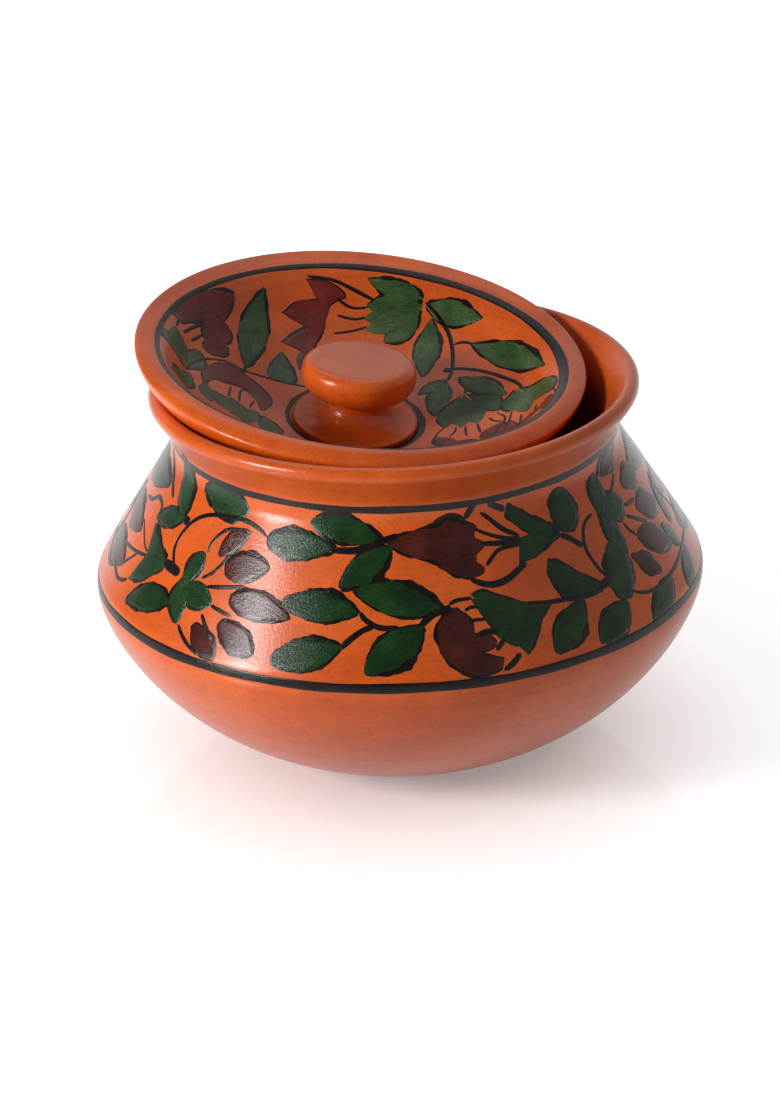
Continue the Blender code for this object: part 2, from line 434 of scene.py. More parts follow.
def lid_matrix():
    """Where the lid lies: its rim's middle, tilted and dropped until the lid meets the pot's lip."""
    height = dish_center()[1]
    lip = lip_center()
    reach = height + DISH_DEPTH + LIP_ROLL + LID_GAP
    sphere_height = lip[1] + math.sqrt(reach * reach - lip[0] * lip[0])
    lean = math.sin(LID_TILT)
    normal = Vector((lean * math.cos(LID_LOW_SIDE), lean * math.sin(LID_LOW_SIDE), math.cos(LID_TILT)))
    place = Vector((0.0, 0.0, sphere_height)) - float(height) * normal
    turn = Vector((0.0, 0.0, 1.0)).rotation_difference(normal).to_matrix().to_4x4()
    return Matrix.Translation(place) @ turn


LID = np.array(lid_matrix())


def in_lid(points):
    return points @ LID[:3, :3].T + LID[:3, 3]


def in_scene(name, data):
    thing = bpy.data.objects.new(name, data)
    bpy.context.scene.collection.objects.link(thing)
    return thing


def make_object(name, points, faces, material, body, stands_for=()):
    """A shaded mesh from points in millimetres, riding on its body."""
    mesh = bpy.data.meshes.new(name)
    mesh.from_pydata((np.asarray(points) * MM).tolist(), [], faces)
    mesh.materials.append(material)
    mesh.shade_smooth()
    thing = in_scene(name, mesh)
    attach(thing, body)
    if stands_for:
        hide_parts(*stands_for)
    return thing


def turned(name, section, steps, material, body, solid, place=None):
    """Sweep a section about Z. A point's third number lifts its ring in front and drops it behind."""
    rows = np.array(section)
    inner = rows[1:-1]
    count = len(inner)
    angles = np.arange(steps) * math.tau / steps
    front = np.cos(angles - FRONT)
    radius = inner[None, :, 0]
    ring = np.stack([
        radius * np.cos(angles)[:, None],
        radius * np.sin(angles)[:, None],
        inner[None, :, 1] + inner[None, :, 2] * front[:, None],
    ], -1).reshape(-1, 3)
    poles = np.array([(0, 0, rows[0][1]), (0, 0, rows[-1][1])])
    points = np.vstack([poles, ring])
    if place is not None:
        points = place(points)
    faces = []
    for step in range(steps):
        here = 2 + step * count
        there = 2 + (step + 1) % steps * count
        faces.append((0, here, there))
        faces.append((1, there + count - 1, here + count - 1))
        faces += [(here + i, here + i + 1, there + i + 1, there + i) for i in range(count - 1)]
    return make_object(name, points, faces, material, body, (solid,))


class Shoulder:
    """The outside of the pot as a chart: x is azimuth times CHART_DEGREE, y is the distance up the slope."""

    def __init__(self, skin):
        rows = np.array(skin)
        along = distances(rows)
        keel = np.array((BELLY_RADIUS, BELLY_HEIGHT + KEEL_EASE))
        neck = neck_corner()[:2]
        cone = (neck - keel) / np.linalg.norm(neck - keel)
        middle = keel + CONE_MIDDLE * cone
        nearest = np.interp(middle[1], rows[:, 1], along)
        self.rows = rows
        self.along = along - nearest + CONE_MIDDLE
        slope = np.gradient(rows, self.along, axis=0)
        self.normals = np.stack([slope[:, 1], -slope[:, 0]], -1)

    def at_height(self, height):
        """The distance up the slope of a height above the floor."""
        return float(np.interp(height, self.rows[:, 1], self.along))

    def __call__(self, x, y, lift):
        angle = np.radians(x / CHART_DEGREE)
        radius = self.lifted(y, 0, lift)
        height = self.lifted(y, 1, lift)
        return np.stack([radius * np.cos(angle), radius * np.sin(angle), height], -1)

    def lifted(self, y, axis, lift):
        """Radius (axis 0) or height (axis 1) of a point above the clay."""
        skin = np.interp(y, self.along, self.rows[:, axis])
        return skin + lift * np.interp(y, self.along, self.normals[:, axis])


class Hollow:
    """The upper face of the lid as a chart: x and y as seen from above the lid."""

    def __init__(self, upper):
        self.rows = np.array(upper)

    def height(self, x, y):
        radius = np.hypot(x, y)
        front = -y / np.maximum(radius, TINY)
        level = np.interp(radius, self.rows[:, 0], self.rows[:, 1])
        rise = np.interp(radius, self.rows[:, 0], self.rows[:, 2])
        return level + rise * front

    def __call__(self, x, y, lift):
        slope_x = (self.height(x + SLOPE_STEP, y) - self.height(x - SLOPE_STEP, y)) / (2 * SLOPE_STEP)
        slope_y = (self.height(x, y + SLOPE_STEP) - self.height(x, y - SLOPE_STEP)) / (2 * SLOPE_STEP)
        normal = np.stack([-slope_x, -slope_y, np.ones_like(slope_x)], -1)
        normal /= np.linalg.norm(normal, axis=-1, keepdims=True)
        points = np.stack([x, y, self.height(x, y)], -1) + normal * np.asarray(lift)[..., None]
        return in_lid(points)


class Paint:
    """One colour of paint on one surface: sheets of quads laid on a chart, sunk in at their edges."""

    def __init__(self, surface):
        self.surface = surface
        self.points = []
        self.faces = []
        self.strokes = []
        self.count = 0

    def sheet(self, center, side, half, height):
        """A sheet along a centre line, with its half width at each point, on both sides of it."""
        flat = half - np.minimum(PAINT_EDGE, PAINT_EDGE_SHARE * half)
        middle = flat[:, None] * np.linspace(-1, 1, PAINT_COLUMNS)
        across = np.concatenate([-half[:, None], middle, half[:, None]], axis=1)
        x = center[:, 0, None] + side[:, 0, None] * across
        y = center[:, 1, None] + side[:, 1, None] * across
        lift = np.full(x.shape, height)
        lift[:, 0] = PAINT_SINK
        lift[:, -1] = PAINT_SINK
        lift[0] = PAINT_SINK
        lift[-1] = PAINT_SINK
        points = self.surface(x, y, lift)
        rows, columns = x.shape
        along = distances(center)
        shift = self.count * STREAK_SHIFT
        first = self.count
        for i in range(rows):
            for j in range(columns):
                self.strokes.append((along[i] * STREAK_SCALE + shift, across[i, j] * STREAK_SCALE + shift))
        for i in range(rows - 1):
            for j in range(columns - 1):
                a = first + i * columns + j
                self.faces.append((a, a + 1, a + columns + 1, a + columns))
        self.points.append(points.reshape(-1, 3))
        self.count += rows * columns

    def finish(self, name, material, body):
        thing = make_object(name, np.vstack(self.points), self.faces, material, body)
        layer = thing.data.uv_layers.new(name="brush")
        corners = np.empty(len(thing.data.loops), dtype=np.int32)
        thing.data.loops.foreach_get("vertex_index", corners)
        layer.data.foreach_set("uv", np.array(self.strokes, dtype=np.float32)[corners].ravel())
        return thing


def waves(t, terms):
    """A sum of sine waves, each given by its size, its speed and its phase."""
    return sum(size * np.sin(speed * t + phase) for size, speed, phase in terms)


def wobble(count, phase, size):
    """A small unsteadiness of the brush."""
    t = np.linspace(0, 1, count)
    return size * waves(t, [(part, speed, share * phase) for part, speed, share in WOBBLE])


def sides(center):
    """Unit vectors to the left of a centre line."""
    along = np.gradient(center, axis=0)
    along /= np.maximum(np.linalg.norm(along, axis=1, keepdims=True), 1e-9)
    return np.stack([-along[:, 1], along[:, 0]], -1)


def through(points, spacing):
    """A smooth curve through a few points."""
    knots = np.array(points, dtype=float)
    if len(knots) == 2:
        knots = np.vstack([knots[0], knots.mean(axis=0), knots[1]])
    padded = np.vstack([2 * knots[0] - knots[1], knots, 2 * knots[-1] - knots[-2]])
    curve = []
    for i in range(1, len(padded) - 2):
        a, b, c, d = padded[i - 1:i + 3]
        count = max(3, int(np.linalg.norm(c - b) / spacing))
        for k in range(count):
            t = k / count
            curve.append(0.5 * (2 * b + (c - a) * t + (2 * a - 5 * b + 4 * c - d) * t * t
                                + (3 * b - a - 3 * c + d) * t ** 3))
    curve.append(knots[-1])
    return np.array(curve)


def stroke(paint, points, width):
    """A brush line: fuller in its middle, rounded at its ends."""
    center = through(points, STROKE_SPACING)
    count = len(center)
    t = np.linspace(0, 1, count)
    full = np.minimum(1, np.sqrt(np.maximum(0, 1 - (2 * t - 1) ** STROKE_SQUARENESS)) + STROKE_TIP)
    phase = float(center[0, 0] + center[0, 1])
    body = STROKE_BODY + STROKE_SWELL * np.sin(math.pi * t) + wobble(count, phase, STROKE_WOBBLE)
    paint.sheet(center, sides(center), width / 2 * full * body, LINE_HEIGHT)


def leaf(wash, lines, base, tip, width, edges, slim, bend=0.0, peak=0.5):
    """A brushed leaf or petal from its base to its tip, with a dark line down each edge."""
    start = np.array(base, dtype=float)
    end = np.array(tip, dtype=float)
    length = np.linalg.norm(end - start)
    count = max(LEAF_ROWS, int(length / LEAF_SPACING))
    t = np.linspace(0, 1, count)
    along = (end - start) / length
    left = np.array((-along[1], along[0]))
    center = start + np.outer(t, end - start) + np.outer(4 * t * (1 - t) * bend * length, left)
    power = math.log(0.5) / math.log(peak)
    if width >= BROAD_LEAF * length:
        slim = BROAD_SHARE * slim
    half = width / 2 * np.sin(math.pi * t ** power) ** slim
    phase = float(start[0] * LEAF_PHASE + end[1])
    ragged = half + wobble(count, phase, LEAF_WOBBLE) * (half > STEADY_WIDTH)
    outlined(wash, lines, center, sides(center), ragged, edges)


def outlined(wash, lines, center, side, half, edges):
    """A brushed shape over a dark one that shows as a line along each side of it."""
    left, right = edges
    swell = EDGE_BODY + EDGE_WOBBLE * wobble(len(center), float(center[0, 0]), 1.0)
    shift = side * (swell * (left - right) / 4)[:, None]
    growth = swell * (left + right) / 4
    if left or right:
        lines.sheet(center + shift, side, np.maximum(half + growth, LEAST_LINE), EDGE_HEIGHT)
    wash.sheet(center - shift, side, np.maximum(half - growth, LEAST_WASH), WASH_HEIGHT)


def even(points, count):
    """A smooth curve through a few points, as evenly spaced points."""
    curve = through(points, EDGE_SPACING)
    along = distances(curve)
    where = np.linspace(0, along[-1], count)
    return np.stack([np.interp(where, along, curve[:, 0]), np.interp(where, along, curve[:, 1])], -1)


def patch(wash, lines, one, other, one_line, other_line):
    """A brushed shape between two edges, with a dark line along either."""
    length = max(distances(edge)[-1] for edge in (one, other))
    count = max(PATCH_ROWS, int(length / PATCH_SPACING))
    left = even(one, count)
    right = even(other, count)
    half = np.linalg.norm(left - right, axis=1) / 2
    side = (left - right) / np.maximum(2 * half, TINY)[:, None]
    phase = float(left[0, 0] * PATCH_PHASE + right[-1, 1])
    ragged = half + wobble(count, phase, PATCH_WOBBLE)
    outlined(wash, lines, (left + right) / 2, side, ragged, (one_line, other_line))


def ring(paint, radius, width):
    """A painted circle on the lid, a little wider on the right."""
    angles = np.linspace(-RING_OVERLAP, math.tau + RING_OVERLAP, RING_ROWS)
    center = radius * np.stack([np.cos(angles), np.sin(angles)], -1)
    paint.sheet(center, sides(center), width / 2 * (1 + waves(angles, RING_WAVES)), LINE_HEIGHT)


def band(paint, y, width, sway):
    """A painted line right round the pot."""
    degrees = np.linspace(-BAND_HALF_TURN, BAND_HALF_TURN, BAND_ROWS)
    turn = np.radians(degrees)
    center = np.stack([degrees * CHART_DEGREE, y + waves(turn, ((sway, *BAND_SWAY), BAND_RIPPLE))], -1)
    paint.sheet(center, sides(center), width / 2 * (1 + waves(turn, BAND_WAVES)), LINE_HEIGHT)


# The vine on the shoulder: azimuth in degrees and distance up the slope in millimetres.
# A leaf is base, tip, width and its two edge lines, then its bend and where it is widest if not halfway.
SHOULDER_LEAVES = [
    ((-150.2, 47.5), (-159.4, 70.5), 13.6, (1, 2.2)),
    ((-149.8, 47.8), (-162.2, 41), 9.5, (1.2, 1.4), 0, 0.45),
    ((-163.4, 54), (-194, 51), 15, (1.2, 1.4)),
    ((-129.6, 59.6), (-147.4, 62.8), 13.5, (1.8, 1.1), 0, 0.42),
    ((-142.9, 16.8), (-157.2, 6.8), 12, (1.2, 1.3), -0.07, 0.45),
    ((-122.9, 51.8), (-104.6, 51.4), 12.5, (1.4, 1.3), 0, 0.40),
    ((-93.2, 54.8), (-112.6, 61), 12, (1.2, 1.9), -0.03, 0.55),
    ((-91.6, 53.4), (-103.6, 36.6), 12.5, (2.2, 1)),
    ((-80.8, 27.4), (-100.6, 37), 14, (1, 2.3), -0.02, 0.52),
    ((-98.5, 27.3), (-115.8, 28), 13, (0.9, 1.8), -0.06, 0.5),
    ((-101.6, 15.2), (-115.8, 6.2), 13.5, (1, 1.5), 0, 0.52),
    ((-85.8, 22.8), (-97.4, 4.4), 14.5, (2.2, 1)),
    ((-48.2, 45.6), (-44.8, 63.6), 16, (1.2, 1.4)),
    ((-50.6, 21.2), (-60.8, 3.6), 13, (1.6, 1), 0, 0.55),
    ((-36.4, 35.8), (-40.9, 13), 16, (1.2, 1.4)),
    ((-40.2, 13), (-51, 2.2), 13, (1, 1.2)),
    ((-23.8, 10.2), (-36.4, 0.6), 11.5, (1.2, 1)),
    ((-10, 12), (-20.4, 1.4), 9.5, (1, 1)),
    ((-12, 13), (-15.6, 27), 8, (1.2, 1.2)),
    ((-4, 40), (-10, 22), 10, (1.2, 1.2)),
]
SHOULDER_SEPALS = [
    ((-141.4, 23.5), (-138.4, 40), 10, (1.1, 0.9), 0.04, 0.6),
    ((-141.8, 24.4), (-131.6, 22.4), 11.5, (0, 0.9)),
    ((-141, 29), (-138.8, 10.2), 10.5, (0.8, 1.2), -0.10, 0.5),
    ((-36.6, 43.5), (-30.4, 61.2), 12.2, (1.1, 1.3), 0.04, 0.6),
    ((-37.6, 46.4), (-25.2, 46.2), 13, (0.9, 1.2), 0, 0.6),
    ((-35.4, 49), (-34.2, 27), 10.6, (1.2, 1), -0.02, 0.5),
]
SHOULDER_PETALS = [
    ((-165.2, 16.6), (-186, 17), 15, (1.2, 1)),
    ((-165.6, 31), (-186, 36), 13.5, (1, 1.2)),
    ((-84, 57), (-70.8, 57.2), 7.5, (0.6, 0.6), 0, 0.6),
    ((-84, 50), (-69.8, 50.4), 8.5, (0.6, 0.6), 0, 0.6),
    ((-82, 44.6), (-71, 40.6), 8, (0.6, 0.6), 0, 0.6),
    ((-80.4, 16), (-71.6, 12.6), 8, (0.4, 0.4), 0, 0.6),
    ((-134.4, 40), (-127.2, 53), 9.5, (0, 1), 0.08, 0.48),
    ((-131.8, 36.6), (-119.8, 41.2), 13, (1.2, 1), 0.03, 0.42),
    ((-128.2, 26), (-112.8, 23.2), 12.5, (1, 0.8), 0.05, 0.42),
    ((-128.8, 17.2), (-119.2, 7), 12, (0.9, 0.9)),
    ((-134.8, 13.4), (-127.2, 1.8), 10, (0.9, 0.9)),
    ((-29.2, 58.6), (-14.4, 65), 10, (1, 1), 0, 0.55),
    ((-22.8, 50), (-9.2, 50.2), 11, (1, 1)),
    ((-22.2, 39.6), (-9, 34), 13, (0.9, 1)),
    ((-28, 31.6), (-14.8, 19), 13, (0.9, 1.3)),
    ((-33.2, 27.2), (-25.5, 14.2), 9.5, (0.9, 1.3), 0, 0.55),
]
# A patch is one edge, the other edge, and a line along each; both edges start at the same end.
SHOULDER_GREEN_PATCHES = [
    (((-149.2, 31), (-153.7, 34.6), (-158.3, 38.6), (-161.2, 38.6)),
     ((-149.2, 27.6), (-153.5, 27), (-157.9, 26.8)), 2, 0),
    (((-149.2, 30.2), (-153.5, 29.6), (-157.9, 28.4)),
     ((-149, 26.8), (-151.2, 22.6), (-155.4, 16.6), (-160.6, 13.6)), 0, 1.4),
    (((-50, 50.2), (-55.7, 56.2), (-59.3, 61.1), (-62.4, 63.6)),
     ((-50, 47), (-56, 47.6), (-60.5, 53.5), (-63.6, 59.5)), 1.8, 1),
    (((-50, 49.6), (-56, 50.6), (-61.3, 49.9)),
     ((-50, 46), (-54, 44), (-58.5, 41.2), (-63.4, 40.2)), 0, 1.5),
    (((-58.4, 24), (-63, 25.2), (-68, 29.4), (-72.6, 33.4), (-75.8, 32.6)),
     ((-58.4, 22.4), (-61, 18.6), (-63.8, 10.8), (-66.4, 5.4)), 1.5, 1),
    (((-62, 24), (-69, 28.6), (-76, 31)),
     ((-63, 17), (-67.5, 9.6), (-71.6, 14.6)), 0, 0),
    (((-45, 24), (-49.3, 30.6), (-53, 37), (-56.2, 39.4)),
     ((-45, 20.4), (-50, 20.4), (-55.2, 22.6), (-57.4, 34.6)), 1.4, 1.4),
]
SHOULDER_MAROON_PATCHES = [
    (((-93.8, 55.4), (-86, 59.2), (-80.6, 60.8), (-77.2, 63.2), (-71.4, 57.6)),
     ((-92.6, 52.6), (-87, 48), (-81.8, 45.2), (-78, 40.2), (-72.8, 38.8)), 1.6, 1.7),
    (((-80.8, 28.4), (-83.8, 19.4), (-82.2, 8.4), (-77.2, 1.2), (-71.6, 2.2)),
     ((-79, 28.6), (-75.8, 22.4), (-75.9, 14.6), (-74.4, 9.4), (-70.8, 7)), 1.5, 0.8),
]
# A line is its width and the points that it goes through.
SHOULDER_LINES = [
    (2.1, (-144.8, 28.4), (-146.7, 30.6), (-148.6, 35.6), (-148.5, 42), (-146.4, 48.4), (-143.2, 52.4),
     (-139, 54.8), (-133, 56.3), (-129, 56.2), (-125.4, 54.6), (-122.2, 51.9)),
    (4.4, (-150.4, 29), (-147, 28.8), (-143.4, 28)),
    (3.8, (-150.4, 47.6), (-147.4, 47)),
    (1.5, (-139.6, 10.6), (-141.6, 13), (-143.2, 16.9)),
    (2.6, (-158.6, 50.8), (-161, 53.2), (-164.6, 57.2), (-168, 60.4), (-173, 64.4)),
    (2, (-160.4, 14), (-162, 11.9), (-165, 10.6), (-168.6, 11.9), (-173, 13.6)),
    (2.2, (-161.4, 41.4), (-161.6, 44.4), (-163.4, 46.2), (-166.4, 46.3), (-169.4, 43), (-174, 41.4)),
    (1.3, (-157.6, 27.7), (-160.4, 28.8), (-164, 32.2), (-167.8, 35.6)),
    (1.8, (-157.6, 26.4), (-161, 24.9), (-166, 23.2), (-172, 21.6)),
    (1.6, (-161.6, 24.4), (-164.6, 19), (-166.9, 13.8)),
    (1.8, (-137.7, 39.4), (-137.7, 43.8), (-136, 48.6), (-133.4, 51.6), (-127.2, 53)),
    (1.8, (-136.9, 30), (-134.2, 33.8), (-132.4, 38.6), (-130.8, 43.6)),
    (1.9, (-134.9, 27.8), (-130.2, 29.7), (-124.6, 32.3)),
    (1.8, (-132.2, 21.8), (-129.4, 20.8), (-126, 19.7)),
    (2, (-133.6, 17.8), (-131.4, 13.2), (-129, 8.8)),
    (1.8, (-138.6, 10.8), (-136.8, 7.8), (-134.2, 4.6), (-130.6, 2)),
    (2.9, (-107, 51), (-103.6, 51), (-100, 51.4), (-95.4, 53.2)),
    (3, (-80.6, 27.8), (-84, 26.2), (-86.6, 22)),
    (2.4, (-98.9, 28.4), (-97.6, 25.4), (-95.4, 22.8), (-93.4, 22), (-90.4, 22.2)),
    (2.5, (-102.4, 13.4), (-100.4, 17.4), (-98, 21), (-95.4, 23)),
    (3, (-96.6, 54.4), (-93.8, 55.2), (-90, 57)),
    (1.8, (-82, 60.4), (-79.8, 62.2), (-77.6, 63.3), (-75.2, 62.4), (-73.2, 60)),
    (2.8, (-75.2, 38.6), (-72.6, 35.9), (-69.6, 34.7), (-66.4, 35.8), (-63.6, 38.2), (-61, 40)),
    (1.8, (-72.2, 57.2), (-68.8, 53.9), (-64.8, 51.1), (-60.6, 49.6)),
    (2.3, (-71.6, 51), (-67.4, 49.8), (-60.2, 48.4)),
    (1.8, (-60.8, 47.4), (-66.6, 47.3), (-69.4, 44.2), (-70.9, 41.8)),
    (2.3, (-60.8, 50.4), (-64.8, 54.8), (-67.4, 59.4), (-69.7, 62.6)),
    (2.8, (-73.8, 60.8), (-72.2, 63.8), (-70.4, 66.6)),
    (2.9, (-67.6, 65.8), (-64, 62.6), (-62.8, 62.2)),
    (3.6, (-51.6, 49.6), (-50.4, 46.4)),
    (2.8, (-50.6, 46.6), (-48.2, 43.8), (-46.4, 40.6), (-45.4, 39)),
    (2, (-64, 25.4), (-59, 23.4), (-54, 22.4), (-49.4, 21.3), (-44.6, 21.6)),
    (4, (-46.4, 22.4), (-41.8, 22.6)),
    (2.8, (-75.6, 16.4), (-73.4, 17.4), (-70.6, 16.8)),
    (2, (-69.8, 14.6), (-71, 12.4), (-72.4, 9.6)),
    (1.6, (-77, 21.6), (-75.4, 22.6), (-72.8, 22)),
    (1.6, (-77.4, 26.4), (-75.6, 27.6), (-73.6, 26.8)),
    (2.4, (-71.8, 1.8), (-69.7, 4), (-67.6, 7.6)),
    (1.7, (-80.5, 29.2), (-78.6, 30.8), (-75, 31)),
    (3.8, (-82.6, 26.6), (-79.6, 28.2)),
    (2, (-43.2, 25), (-44.4, 31.3), (-45, 37.4), (-43.9, 43.2), (-41.6, 47), (-38.2, 48.5)),
    (2, (-29.2, 50.4), (-25.4, 53.2), (-22.2, 55.8)),
    (2, (-26.2, 43.7), (-22.8, 42.9), (-19.4, 42.4)),
    (2.2, (-27.8, 40.6), (-24.2, 36.4), (-20.2, 31.8)),
    (2, (-30, 39.4), (-29.2, 35.2), (-27.4, 31.2)),
    (2.8, (-30.2, 59), (-27.4, 63), (-24.6, 66.6)),
    (2.1, (-38.6, 15.8), (-35.6, 12.6), (-32, 10.8), (-26, 10.5), (-19, 11.6), (-12, 13),
     (-5, 13.6), (3, 11), (8, 10)),
    (2, (-3, 13.6), (-2, 24), (-4, 34), (-3, 42)),
]

# The vine on the lid: millimetres to the right of and behind the knob, seen from above the lid.
LID_LEAVES = [
    ((27.5, 65.5), (50.5, 52.4), 9, (0.9, 0.7), 0, 0.45),
    ((27, 31), (30.5, 60.5), 11.5, (0.7, 1.2)),
    ((45.5, 45), (73.5, 11), 10, (1, 0.8), 0.06, 0.45),
    ((40.5, 28), (59.5, 7.6), 9.5, (0.9, 0.8), 0.04, 0.5),
    ((36.8, 27), (31.8, 4.2), 10, (0.9, 0.8), -0.06, 0.45),
    ((37.5, 27.6), (25, 20.6), 6.5, (0.6, 0.6), -0.05, 0.5),
    ((-43.6, 23), (-38, 63.6), 12.5, (0.8, 1.2), 0.02, 0.5),
    ((-29, 20.6), (-29.6, 39.6), 12.5, (0.9, 1.1), 0, 0.26),
    ((-30.5, -25), (-36.5, -7), 10, (0.8, 0.8), 0, 0.45),
    ((-60, 0), (-57.5, -15), 7, (0.8, 0.8)),
    ((-66, 1), (-73.5, -19), 8.5, (0.8, 0.8), 0.06, 0.5),
    ((-38, -46), (-56, -42), 9, (0.8, 0.8)),
    ((-24, -52), (-36, -66), 9, (0.8, 0.8)),
    ((-8, -52), (-2, -70), 9, (0.8, 0.8)),
    ((6, -49), (-8, -36), 8.5, (0.8, 0.8)),
    ((14, -48), (24, -65), 9, (0.8, 0.8)),
]
LID_SEPALS = [
    ((27, 67.2), (3.2, 75.4), 7.6, (0.5, 1), -0.01, 0.45),
    ((27, 66), (3.5, 67.2), 10, (0, 0.9), 0, 0.55),
    ((27, 65.6), (2.6, 61.6), 10, (0, 0), 0, 0.55),
    ((26.6, 65), (3.6, 56.2), 10.5, (0, 0), 0, 0.55),
    ((26, 64.4), (11, 50.8), 11, (1, 0.5), 0.05, 0.55),
    ((42.6, 16.8), (35.8, -6.2), 9, (0.5, 1), -0.08, 0.6),
    ((43, 16.8), (41.6, -8.6), 10, (0, 0), 0, 0.6),
    ((43.4, 16.6), (48.4, -8.2), 10, (0, 0), 0, 0.6),
    ((43.8, 16.4), (56.4, -2.6), 9.5, (1, 0.5), 0.08, 0.6),
    ((62.8, 10), (61, -6.6), 7, (0.5, 0.9), -0.08, 0.6),
    ((63.2, 10), (66.8, -12.6), 9, (0, 0), 0, 0.6),
    ((63.4, 10), (74.4, -14.6), 9, (1, 0), 0.10, 0.6),
    ((-68, 1.6), (-78, 12.6), 7.5, (0.9, 0.5), 0.08, 0.6),
    ((-68, 1.8), (-73.2, 19.6), 9, (0, 0), 0, 0.6),
    ((-68, 2), (-63.4, 20.4), 8.5, (0.5, 0.9), -0.08, 0.6),
    ((-43, -20.6), (-58, -3), 10, (0.9, 0.5), -0.06, 0.6),
    ((-43, -20.4), (-49.6, -1.6), 10, (0, 0), 0, 0.6),
    ((-42.6, -20.4), (-38.6, -5), 9, (0.5, 0.9), 0.06, 0.6),
]
LID_PETALS = [
    ((31.4, -13), (38.6, -27.6), 9, (0, 0.9)),
    ((33, -21), (48, -29.6), 10, (0.6, 0.9), 0, 0.6),
    ((57.6, -13), (49, -27.6), 10, (0.9, 0)),
    ((60.4, -14), (57, -32), 7.5, (0.8, 0.8)),
    ((67, -17), (63.6, -36), 8, (0.8, 0.8)),
    ((74, -17), (71, -34), 6.5, (0.8, 0.8)),
    ((-62.6, 28.6), (-51.4, 41.6), 12.5, (0.8, 1), 0, 0.6),
    ((-61.4, 22.4), (-51, 31.4), 9.5, (0.8, 0.8)),
    ((44, -52), (36, -68), 9, (0.8, 0.8), 0, 0.6),
    ((46, -50), (50, -64), 8, (0.8, 0.8), 0, 0.6),
]
# A point that is given twice is a sharp corner.
LID_PATCHES = [
    (((-4.2, 69.8), (-9, 72.4), (-15, 73), (-21.6, 71.8), (-21.6, 71.8), (-16.8, 66.9), (-16.8, 66.9),
      (-24.6, 64.2), (-30, 58.2), (-30, 58.2), (-26, 56.2), (-19.2, 55.8), (-19.2, 55.8), (-25.2, 50.6),
      (-30, 44.2), (-30, 44.2), (-25, 43.2), (-20.6, 43.6), (-20.6, 43.6), (-23.4, 38), (-22.6, 31)),
     ((-4.2, 69.2), (-10.2, 66), (-12, 60), (-13.2, 53), (-16.6, 43), (-15, 36), (-16, 31)), 1.3, 0.7),
    (((-61, -1), (-61.6, 8), (-57.6, 16.4), (-50.6, 20.6), (-44, 18.8), (-37, 14), (-32.2, 7), (-35.6, -3)),
     ((-59.4, -1), (-57, 4.6), (-52.4, 6.6), (-47.6, 8.4), (-43, 7.6), (-40, 4), (-38.6, 0),
      (-37.4, -4)), 1, 0.7),
    (((-49.6, 55.4), (-58, 52), (-67, 43), (-73, 33), (-75, 24)),
     ((-49.6, 53), (-53, 43), (-57, 41), (-62, 35), (-66, 30), (-71, 23)), 1.2, 1),
]
LID_LINES = [
    (1.3, (-21.6, 72.8), (-11, 73.6), (-2, 71.8), (8, 68.6)),
    (1.3, (5, 66.6), (-2, 66), (-9, 69)),
    (1.4, (4.6, 62.6), (-1, 61.2), (-8.4, 62.2)),
    (1.3, (5, 58.4), (-1, 56), (-9.4, 53.6)),
    (1.9, (27, 66.2), (32, 61.2), (36.4, 54.2), (38.5, 46), (39, 38), (38.6, 32.6)),
    (1.5, (38.6, 46.2), (43, 46.4), (47, 44)),
    (1.8, (36.6, 34.4), (45, 31.5), (52, 27), (58, 21), (63, 14.5), (65.6, 8.6)),
    (1.6, (39, 33.4), (37, 27)),
    (2.6, (35, 33.8), (39.6, 32.6)),
    (1.3, (43.2, 15.6), (44, 20), (41, 26)),
    (1.2, (36.2, -5), (32.6, -10), (31, -17), (33.6, -23.6), (39, -28), (46, -31),
     (52, -26.6), (56.8, -16), (58.2, -9), (55, -3)),
    (1.2, (39.6, -6.6), (39.2, -11), (36.6, -15.4)),
    (1.2, (43.2, -7.6), (43.4, -18.6)),
    (1.2, (47.8, -7.6), (48.8, -18.4)),
    (1.2, (52.2, -5), (54, -9.6), (57.6, -12.8)),
    (1.3, (38.4, -31), (37, -40), (40, -50)),
    (1.1, (61.2, -6), (59.6, -14), (57, -26)),
    (1.1, (64.4, -11.6), (63, -24)),
    (1.1, (69.4, -13.6), (68, -28)),
    (1.1, (75.2, -10), (75.8, -20), (72.6, -34)),
    (1.1, (-70, 20), (-66, 28), (-62, 34)),
    (1.1, (-66.6, 21), (-60.6, 32)),
    (1.1, (-73, 19), (-71, 27)),
    (1.1, (-50.4, -2.6), (-49.4, 7)),
    (1.1, (-46, -3), (-45.4, 6.4), (-41.6, 9.6)),
    (1.1, (-42, -5), (-40, 3)),
    (1.8, (-43.8, 25.6), (-44.4, 19.6)),
    (1.4, (-45, 21), (-34, 21.6), (-19, 22.4)),
    (2.6, (-46.6, 19.6), (-43.4, 21.6)),
    (1.4, (-44, 21), (-52, 21.6), (-60, 17), (-66, 8), (-68, 0)),
    (1.5, (-42, -21), (-41, -34), (-32, -46), (-16, -52.4), (2, -50.6), (18, -46.6), (36, -44)),
]


def brush(paints, leaves, petals, green_patches, maroon_patches, lines, slim, bold, place):
    """Lay leaves, petals, patches and lines, each at the spot that place gives for it."""
    green, maroon, black = paints
    for wash, rows in ((maroon, petals), (green, leaves)):
        for base, tip, width, edges, *form in rows:
            heavy = [bold * edge for edge in edges]
            leaf(wash, black, place(base), place(tip), width, heavy, slim, *form)
    for wash, rows in ((maroon, maroon_patches), (green, green_patches)):
        for one, other, one_line, other_line in rows:
            left = [place(spot) for spot in one]
            right = [place(spot) for spot in other]
            patch(wash, black, left, right, one_line, other_line)
    for width, *points in lines:
        stroke(black, [place(point) for point in points], width)


